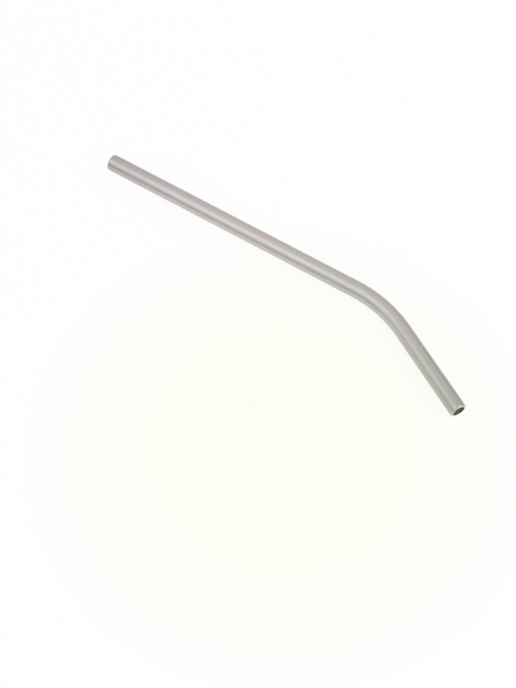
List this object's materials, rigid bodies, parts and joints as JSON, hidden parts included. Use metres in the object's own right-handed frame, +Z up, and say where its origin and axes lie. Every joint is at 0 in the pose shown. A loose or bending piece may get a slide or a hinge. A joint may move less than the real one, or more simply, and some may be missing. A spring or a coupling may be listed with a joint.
{
  "type": "drinking straw",
  "caption": "Reusable bent drinking straw: a thin-walled metal tube with a gentle bend near the drinking end and both ends rolled in to a smooth lip.",
  "frame": {"origin": "middle of the bounding box, on the surface that the straw lies on", "axes": "+X along the long leg, from its foot end towards the bend; +Z up, square to the flat plane of the bend; the mouth leg turns towards -Y"},
  "size_m": [0.2094, 0.038, 0.008],
  "materials": {
    "satin_titanium": "satin, fine blasted warm grey titanium"
  },
  "bodies": {
    "root": {"straw_tube": "satin_titanium"}
  },
  "joints": []
}
